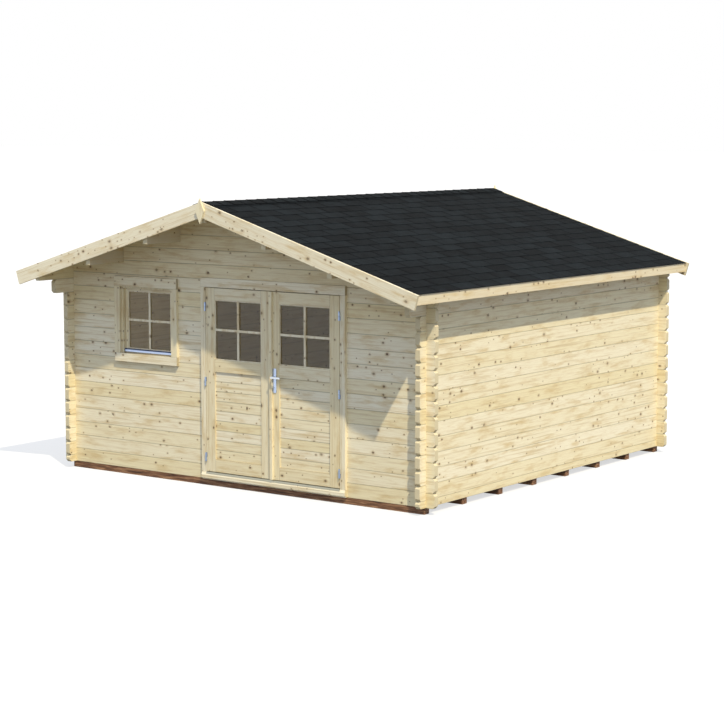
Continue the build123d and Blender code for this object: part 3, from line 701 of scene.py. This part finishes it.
def trim(piece, point, outward):
    """Cuts off what lies beyond a plane, and closes the cut. The shape must run past the plane."""
    only(piece)
    bpy.ops.object.mode_set(mode="EDIT")
    bpy.ops.mesh.select_mode(type="FACE")
    bpy.ops.mesh.select_all(action="SELECT")
    bpy.ops.mesh.bisect(plane_co=point, plane_no=outward, use_fill=True, clear_outer=True)
    end_editing()


def hand_over(piece, body, slot, material, *stands_for):
    """Gives a finished piece its material and body, and hides the nodes that it stands for. The slot is
    not used.
    """
    only(piece)
    bpy.ops.object.shade_smooth_by_angle(angle=radians(35))
    piece.data.materials.clear()
    piece.data.materials.append(material)
    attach(piece, body)
    if stands_for:
        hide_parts(*stands_for)


# Roof boards, laid down each slope, with a V joint between them below
deck_top = deck_apex + deck_thickness / cos(roof_pitch)
half_turn = radians(180)
board_gap = 0.6 * MM
board_bevel = 3 * MM
roof_reach = deck_high.x / cos(roof_pitch)
spare = 40 * MM

boards = start_block(
    "right_roof_boards",
    (-spare, deck_low.y, -deck_thickness),
    (roof_reach + spare, deck_low.y + board_pitch - board_gap, 0),
)
bevel(boards, board_bevel, 1, lambda middle, run: abs(run.x) > ALONG and middle.z < -deck_thickness / 2)
end_editing()
repeat(boards, board_count, (0, board_pitch, 0))
place(boards, (0, 0, deck_top), (0, roof_pitch, 0))
trim(boards, (deck_low.x, 0, 0), (-1, 0, 0))
trim(boards, (deck_high.x, 0, 0), (1, 0, 0))
left_boards = copied(boards, "left_roof_boards", turn=(0, 0, half_turn))
hand_over(boards, "cabin", "spruce_board", roof_board_right, "right_roof_deck")
hand_over(left_boards, "cabin", "spruce_board", roof_board_left, "left_roof_deck")

# Shingles: courses of square tabs on felt, thin under the course above and thick at the butt
shingle_low, shingle_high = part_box("right_roof_shingles")
course_count = 17
tabs_a_course = 14.5
course_reach = shingle_high.x / cos(roof_pitch)
course_pitch = course_reach / course_count
course_spare = 1 * MM
tab_pitch = (shingle_high.y - shingle_low.y) / tabs_a_course
tab_gap = 7 * MM
tab_lap = 22 * MM
tab_seat = 0.4 * MM
tab_thin = 2.2 * MM
tab_thick = 6.3 * MM
butt_seat = 2.9 * MM
butt_corner = 5 * MM
shingle_edge = 1.2 * MM
felt_top = 0.35 * MM
felt_edge = 0.2 * MM
felt_setback = 4 * MM

tab = start_block(
    "right_roof_courses",
    (-tab_lap, shingle_low.y + tab_gap / 2, tab_seat),
    (course_pitch, shingle_low.y + tab_pitch - tab_gap / 2, tab_thin),
)
tab_middle = (tab_seat + tab_thin) / 2
pick(tab, "VERT", lambda at: at.x > 0 and at.z > tab_middle)
bpy.ops.transform.translate(value=(0, 0, tab_thick - tab_thin))
pick(tab, "VERT", lambda at: at.x > 0 and at.z < tab_middle)
bpy.ops.transform.translate(value=(0, 0, butt_seat - tab_seat))
bevel(tab, butt_corner, 1, lambda middle, run: middle.x > course_pitch - NEAR and abs(run.z) > ALONG)
butt_start = course_pitch - butt_corner - NEAR
bevel(tab, shingle_edge, 1, lambda middle, run: middle.x > butt_start and middle.z > tab_thick - NEAR)
end_editing()
repeat(tab, int(tabs_a_course) + 2, (0, tab_pitch, 0))
next_course = copied(tab, "next_course", (course_pitch, -tab_pitch / 2, 0))
courses = joined("right_roof_courses", [tab, next_course])
repeat(courses, (course_count + 1) // 2, (2 * course_pitch, 0, 0))
trim(courses, (course_reach + course_spare, 0, 0), (1, 0, 0))
felt = start_block(
    "felt",
    (-spare, shingle_low.y - spare, 0),
    (course_reach - felt_setback, shingle_high.y + spare, felt_top),
)
bevel(felt, felt_edge, 1, lambda middle, run: (
    abs(run.y) > ALONG and middle.x > 0 and middle.z > felt_top / 2
))
end_editing()
courses = joined("right_roof_courses", [courses, felt])
place(courses, (0, 0, deck_top + seat), (0, roof_pitch, 0))
trim(courses, (shingle_low.x, 0, 0), (-1, 0, 0))
trim(courses, (0, shingle_low.y, 0), (0, -1, 0))
trim(courses, (0, shingle_high.y, 0), (0, 1, 0))
left_courses = copied(courses, "left_roof_courses", turn=(0, 0, half_turn))
shingle = bitumen_shingle("slated_bitumen", shingle_low.y, tab_pitch, shingle_high.x / course_count)
hand_over(courses, "cabin", "bitumen_shingle", shingle, "right_roof_shingles")
hand_over(left_courses, "cabin", "bitumen_shingle", shingle, "left_roof_shingles")

# Ridge: short shingles folded over it, each lapped on the one behind
capping_low, capping_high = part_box("ridge_capping")
cap_count = 31
cap_pitch = (capping_high.y - capping_low.y) / cap_count
cap_length = 1.7 * cap_pitch
cap_thickness = 3.5 * MM
cap_lift = 5 * MM
cap_apex = deck_top + 7 * MM
cap_drop = capping_high.x * tan(roof_pitch)
cap_fold = 14 * MM
cap = start_block(
    "ridge_caps",
    (capping_low.x, capping_low.y, -cap_drop),
    (capping_high.x, capping_low.y + cap_length, cap_thickness - cap_drop),
)
bpy.ops.mesh.bisect(plane_co=(0, 0, 0), plane_no=(1, 0, 0))
pick(cap, "VERT", lambda at: abs(at.x) < NEAR)
bpy.ops.transform.translate(value=(0, 0, cap_drop))
bevel(cap, cap_fold, 3, lambda middle, run: abs(middle.x) < NEAR and abs(run.y) > ALONG)
cap_front, cap_side = capping_low.y + NEAR, capping_high.x - NEAR
pick(cap, "VERT", lambda at: at.y < cap_front)
bpy.ops.transform.translate(value=(0, 0, cap_lift))
bevel(cap, shingle_edge, 1, lambda middle, run: (
    middle.y < cap_front and abs(run.x) < ACROSS and abs(middle.x) > cap_side
))
end_editing()
repeat(cap, cap_count, (0, cap_pitch, 0))
place(cap, (0, 0, cap_apex))
trim(cap, (0, capping_high.y, 0), (0, 1, 0))
cap_shingle = bitumen_shingle("slated_bitumen_caps", capping_low.y, cap_pitch)
hand_over(cap, "cabin", "bitumen_shingle", cap_shingle, "ridge_capping")

# Floor boards, from front to back across the bearers
plank_bevel = 2 * MM
plank_end = (floor_low.x + floor_pitch - board_gap, floor_high.y, floor_high.z)
plank_middle = (floor_low.z + floor_high.z) / 2
planks = start_block("floor_boards", floor_low, plank_end)
bevel(planks, plank_bevel, 1, lambda middle, run: abs(run.y) > ALONG and middle.z > plank_middle)
end_editing()
repeat(planks, floor_count, (floor_pitch, 0, 0))
hand_over(planks, "cabin", "spruce_floor", floor_spruce, "floor_deck")


def glazing(name, low, high, body):
    """A splayed bead and a cross of two bars, on one side of the glass, between two corners."""
    bead, bar, splay = 9 * MM, 24 * MM, 4 * MM
    step = 1 * MM
    inner_x = (low[0] + bead, high[0] - bead)
    inner_z = (low[2] + bead, high[2] - bead)
    middle_x, middle_z = (low[0] + high[0]) / 2, (low[2] + high[2]) / 2
    ring = start_block(name, low, high)
    pick(ring, "FACE", lambda middle, normal: abs(normal.y) > ALONG)
    bpy.ops.mesh.inset(thickness=bead)
    bpy.ops.mesh.bridge_edge_loops()
    bevel(ring, splay, 2, lambda middle, run: (
        abs(run.y) < ACROSS
        and inner_x[0] - NEAR < middle.x < inner_x[1] + NEAR
        and inner_z[0] - NEAR < middle.z < inner_z[1] + NEAR
    ))
    end_editing()
    upright = start_block(
        name + "_upright",
        (middle_x - bar / 2, low[1], inner_z[0]),
        (middle_x + bar / 2, high[1], inner_z[1]),
    )
    bevel(upright, splay, 2, lambda middle, run: abs(run.z) > ALONG)
    end_editing()
    level = start_block(
        name + "_level",
        (inner_x[0], low[1] + step, middle_z - bar / 2),
        (inner_x[1], high[1] - step, middle_z + bar / 2),
    )
    bevel(level, splay, 2, lambda middle, run: abs(run.x) > ALONG)
    end_editing()
    hand_over(joined(name, [ring, upright, level]), body, "spruce_joinery", joinery)


def glaze(name, body, glass, holder):
    """Bars on both sides of a pane, set back from the faces of the leaf or sash that holds it."""
    setback = 5 * MM
    glass_low, glass_high = glass
    left, right = glass_low.x + glass_edge, glass_high.x - glass_edge
    low, high = glass_low.z + glass_edge, glass_high.z - glass_edge
    front, back = holder[0].y + setback, holder[1].y - setback
    glazing(name + "_outer_bars", (left, front, low), (right, glass_low.y - seat, high), body)
    glazing(name + "_inner_bars", (left, glass_high.y + seat, low), (right, back, high), body)


glaze("left_door", "left_leaf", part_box("left_door_glass"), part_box("left_door_leaf"))
glaze("right_door", "right_leaf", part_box("right_door_glass"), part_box("right_door_leaf"))
glaze("window", "cabin", (pane_low, pane_high), (sash_low, sash_high))

# Hinges: a lower knuckle on the frame and an upper one on the leaf, each with a narrow wing
knuckle_gap = 0.25 * MM
knuckle_sides = 20
knuckle_edge = 1.5 * MM
wing_length = 9.5 * MM
wing_thickness = 2.5 * MM
wing_corner = 3 * MM


def hinge_half(name, toward):
    """The lower half of a hinge, with its axis on z and its wing toward -1 or 1 in x."""
    foot, top = (0, 0, -barrel_half), (0, 0, -knuckle_gap)
    knuckle = start_rod(name, barrel_radius, foot, top, "Z", knuckle_sides)
    bevel(knuckle, knuckle_edge, 2, lambda middle, run: abs(run.z) < ACROSS)
    end_editing()
    far = toward * wing_length
    wing = start_block(
        name + "_wing",
        (min(0, far), barrel_radius - wing_thickness, -barrel_half),
        (max(0, far), barrel_radius, -knuckle_gap),
    )
    bevel(wing, wing_corner, 2, lambda middle, run: (
        abs(run.y) > ALONG and abs(middle.x) > wing_length - NEAR
    ))
    end_editing()
    return joined(name, [knuckle, wing])


left_low, left_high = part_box("left_door_leaf")
right_low, right_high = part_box("right_door_leaf")
hinge_edge = 3 * MM
hinge_y = left_low.y - barrel_radius - seat
hinge_heights = [left_low.z + share * (left_high.z - left_low.z) for share in hinge_shares]
left_hinge_x, right_hinge_x = left_low.x - hinge_edge, right_high.x + hinge_edge
frame_halves = []
for side, toward, hinge_x in (("left", -1, left_hinge_x), ("right", 1, right_hinge_x)):
    half = hinge_half(side + "_hinge", toward)
    leaf_halves = []
    for height in hinge_heights:
        axis = (hinge_x, hinge_y, height)
        frame_halves.append(copied(half, "frame_half", axis))
        leaf_halves.append(copied(half, "leaf_half", axis, (0, half_turn, 0)))
    bpy.data.objects.remove(half)
    leaf_set = joined(side + "_leaf_hinge_set", leaf_halves)
    hand_over(leaf_set, side + "_leaf", "satin_steel", hinge_steel, side + "_leaf_hinges")
hand_over(joined("frame_hinge_set", frame_halves), "cabin", "satin_steel", hinge_steel, "frame_hinges")

# Lock plates, one on each face of the right leaf: rounded corners, two screws and the end of the lock
plate_low, plate_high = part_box("lock_plates")
plate_corner = 7 * MM
plate_edge = 1.5 * MM
lever_x = (plate_low.x + plate_high.x) / 2
leaf_middle = (right_low.y + right_high.y) / 2
screw_heights = (13 * MM, 213 * MM)
screw_radius = 3.5 * MM
screw_sides = 12
lock_z = lever_z - 92 * MM
lock_front, lock_back = plate_low.y - 2 * MM, plate_low.y + 1 * MM
lock_radius = 8.5 * MM
lock_edge = 0.6 * MM
tail_half = 5 * MM
tail_length = 24 * MM
tail_corner = 4.5 * MM


def screw_head(at):
    """A round screw head that faces the front, with a socket in it."""
    proud, sunk = Vector((0, -0.9 * MM, 0)), Vector((0, 0.4 * MM, 0))
    socket_share, socket_depth = 0.45, 0.7 * MM
    head = start_rod("screw", screw_radius, at + proud, at + sunk, "Y", screw_sides)
    pick(head, "FACE", lambda middle, normal: normal.y < -ALONG)
    bpy.ops.mesh.inset(thickness=screw_radius * socket_share)
    bpy.ops.transform.translate(value=(0, socket_depth, 0))
    end_editing()
    return head


plate_end = (plate_high.x, plate_low.y + plate_thickness, plate_high.z)
plate = start_block("outer_lock_plate", plate_low, plate_end)
bevel(plate, plate_corner, 3, lambda middle, run: abs(run.y) > ALONG)
bevel(plate, plate_edge, 2, lambda middle, run: middle.y < plate_low.y + NEAR and abs(run.y) < ACROSS)
end_editing()
screws = [screw_head(Vector((lever_x, plate_low.y, plate_low.z + rise))) for rise in screw_heights]
lock = start_rod("lock", lock_radius, (lever_x, lock_front, lock_z), (lever_x, lock_back, lock_z), "Y")
bevel(lock, lock_edge, 1, lambda middle, run: middle.y < plate_low.y - NEAR and abs(run.y) < ACROSS)
end_editing()
tail = start_block(
    "tail",
    (lever_x - tail_half, lock_front, lock_z - tail_length),
    (lever_x + tail_half, lock_back, lock_z),
)
bevel(tail, tail_corner, 3, lambda middle, run: (
    abs(run.y) > ALONG and middle.z < lock_z - tail_length / 2
))
end_editing()
plates = joined("lock_plate_set", [plate, lock, tail] + screws)
inner_plate = copied(plates, "inner_lock_plate", (2 * lever_x, 2 * leaf_middle, 0), (0, 0, half_turn))
plates = joined("lock_plate_set", [plates, inner_plate])
hand_over(plates, "right_leaf", "satin_steel", plate_steel, "lock_plates")

# Lever handle: rounded arms on both faces, on one round neck through the leaf
lever_low, lever_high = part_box("lever_handle")
arm_corner = 8 * MM
arm_edge = 3.5 * MM
neck_edge = 1 * MM
neck_front, neck_back = lever_low.y + arm_thickness / 2, lever_high.y - arm_thickness / 2
arm = start_block("outer_arm", lever_low, (lever_high.x, lever_low.y + arm_thickness, lever_high.z))
bevel(arm, arm_corner, 4, lambda middle, run: abs(run.y) > ALONG)
bevel(arm, arm_edge, 2, lambda middle, run: abs(run.y) < ACROSS)
end_editing()
inner_arm = copied(arm, "inner_arm", (0, lever_high.y - lever_low.y - arm_thickness, 0))
neck = start_rod("neck", neck_radius, (lever_x, neck_front, lever_z), (lever_x, neck_back, lever_z), "Y")
bevel(neck, neck_edge, 1, lambda middle, run: abs(run.y) < ACROSS)
end_editing()
lever = joined("lever", [arm, inner_arm, neck])
hand_over(lever, "handle", "satin_steel", lever_steel, "lever_handle")

# Threshold rail: an aluminium bar under the leaves, with a nose down the slope of the threshold
sill_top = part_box("door_threshold")[1].z
rail_margin = 5 * MM
rail_x = (left_low.x - rail_margin, right_high.x + rail_margin)
rail_front, rail_back = left_low.y - 1 * MM, left_low.y + 30 * MM
rail_top = sill_top + 5 * MM
rail_edge = 1.5 * MM
nose_front, nose_back = rail_front - 2.5 * MM, rail_front + 0.5 * MM
nose_drop = 13 * MM
nose_lean = 5.2 * MM
nose_edge = 1 * MM
flat = start_block(
    "threshold_rail",
    (rail_x[0], rail_front, sill_top + seat),
    (rail_x[1], rail_back, rail_top),
)
bevel(flat, rail_edge, 2, lambda middle, run: abs(run.x) > ALONG and middle.z > rail_top - NEAR)
end_editing()
nose = start_block(
    "nose",
    (rail_x[0], nose_front, sill_top - nose_drop),
    (rail_x[1], nose_back, rail_top),
)
pick(nose, "VERT", lambda at: at.z < sill_top)
bpy.ops.transform.translate(value=(0, -nose_lean, 0))
bevel(nose, nose_edge, 2, lambda middle, run: abs(run.x) > ALONG and middle.y < rail_front - NEAR)
end_editing()
hand_over(joined("threshold_rail", [flat, nose]), "cabin", "anodised_bar", mill_aluminium)

# Drip rail along the foot of the window sash, with a rounded front, and a dark seal on top of it that is
# partly painted shade, standing for the shade along the top of the rail
bar_low, bar_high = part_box("window_drip_bar")
seal_height = 9 * MM
seal_setback = 4 * MM
seal_edge = 3 * MM
drip_proud = 3 * MM
drip_drop = 15 * MM
drip_edge = 5 * MM
drip_top = bar_high.z - seal_height
drip = start_block(
    "window_drip_rail",
    (bar_low.x, bar_low.y - drip_proud, bar_low.z - drip_drop),
    (bar_high.x, bar_high.y, drip_top),
)
bevel(drip, drip_edge, 2, lambda middle, run: (
    abs(run.x) > ALONG and middle.y < bar_low.y and middle.z > drip_top - NEAR
))
end_editing()
hand_over(drip, "cabin", "anodised_bar", aluminium, "window_drip_bar")
seal = start_block("drip_rail_seal_and_gap_shade", (bar_low.x, bar_low.y + seal_setback, drip_top), bar_high)
bevel(seal, seal_edge, 2, lambda middle, run: (
    abs(run.x) > ALONG and middle.y < bar_high.y - NEAR and middle.z > drip_top + NEAR
))
end_editing()
hand_over(seal, "cabin", "anodised_bar", seal_and_gap_shade)

# Camera, at the photograph's angle
camera_place = Vector((12.0182, -16.3071, 3.4152))
camera_azimuth = radians(36.388)
camera_dip = radians(6.756)
forward = Vector((
    -sin(camera_azimuth) * cos(camera_dip),
    cos(camera_azimuth) * cos(camera_dip),
    -sin(camera_dip),
))
camera = bpy.data.objects.new("camera", bpy.data.cameras.new("camera"))
bpy.context.scene.collection.objects.link(camera)
camera.data.lens = 100
camera.data.sensor_width = 36
camera.location = camera_place
camera.rotation_mode = "QUATERNION"
camera.rotation_quaternion = forward.to_track_quat("-Z", "Y")
bpy.context.scene.camera = camera

# Warm key light from the front right, as in the photograph, with slightly soft shadows
to_key = Vector((1.56, -1, 2.54))
key_data = bpy.data.lights.new("key", "SUN")
key_data.energy = 3.6
key_data.angle = radians(0.9)
key_data.color = (1, 0.89, 0.68)
key = bpy.data.objects.new("key", key_data)
bpy.context.scene.collection.objects.link(key)
key.rotation_mode = "QUATERNION"
key.rotation_quaternion = (-to_key).to_track_quat("-Z", "Y")

# Faint warm light in the room, so that its walls show through the glass
room_data = bpy.data.lights.new("room", "POINT")
room_data.energy = 2.3
room_data.color = (1, 0.94, 0.8)
room_data.shadow_soft_size = 0.3
room = bpy.data.objects.new("room", room_data)
bpy.context.scene.collection.objects.link(room)
room.location = (-1.3, -1.1, 1.5)
room.visible_camera = False
room.visible_glossy = False
room.visible_transmission = False


def seen_rays(tree):
    """A mask of the rays by which a thing is seen: straight, in a gloss or through glass."""
    path = add(tree, "ShaderNodeLightPath").outputs
    either = {0: path["Is Camera Ray"], 1: path["Is Glossy Ray"]}
    seen = add(tree, "ShaderNodeMath", either, operation="MAXIMUM")
    return add(tree, "ShaderNodeMath", {0: seen, 1: path["Is Transmission Ray"]}, operation="MAXIMUM")


# Even, slightly blue fill from all round. The camera, gloss and glass see white.
world = bpy.data.worlds.new("studio")
bpy.context.scene.world = world
world.use_nodes = True
tree = world.node_tree
tree.nodes.clear()
fill = add(tree, "ShaderNodeBackground", {0: (0.98, 1.1, 1.33, 1), 1: 0.7})
white = add(tree, "ShaderNodeBackground", {0: (1, 1, 1, 1), 1: 1})
sky = add(tree, "ShaderNodeMixShader", {0: seen_rays(tree), 1: fill, 2: white})
add(tree, "ShaderNodeOutputWorld", {0: sky})

# Plain pale floor: white to the camera with a light shadow, and grey to the light that it returns
floor_size = 400
floor_drop = 1 * MM
glow_share = 0.65
bpy.ops.object.select_all(action="DESELECT")
bpy.ops.mesh.primitive_plane_add(size=floor_size, location=(0, 0, -floor_drop))
floor = bpy.context.object
floor.name = "studio_floor"
floor_paint = bpy.data.materials.new("studio_floor")
floor_paint.use_nodes = True
tree = floor_paint.node_tree
tree.nodes.clear()
grey = add(tree, "ShaderNodeBsdfDiffuse", {0: (0.12, 0.12, 0.12, 1)})
pale = add(tree, "ShaderNodeBsdfDiffuse", {0: (0.85, 0.85, 0.85, 1)})
glow = add(tree, "ShaderNodeEmission", {0: (1, 1, 1, 1), 1: 1})
bright = add(tree, "ShaderNodeMixShader", {0: glow_share, 1: pale, 2: glow})
both = add(tree, "ShaderNodeMixShader", {0: seen_rays(tree), 1: grey, 2: bright})
add(tree, "ShaderNodeOutputMaterial", {0: both})
floor.data.materials.append(floor_paint)

bpy.context.scene.view_settings.view_transform = "Standard"
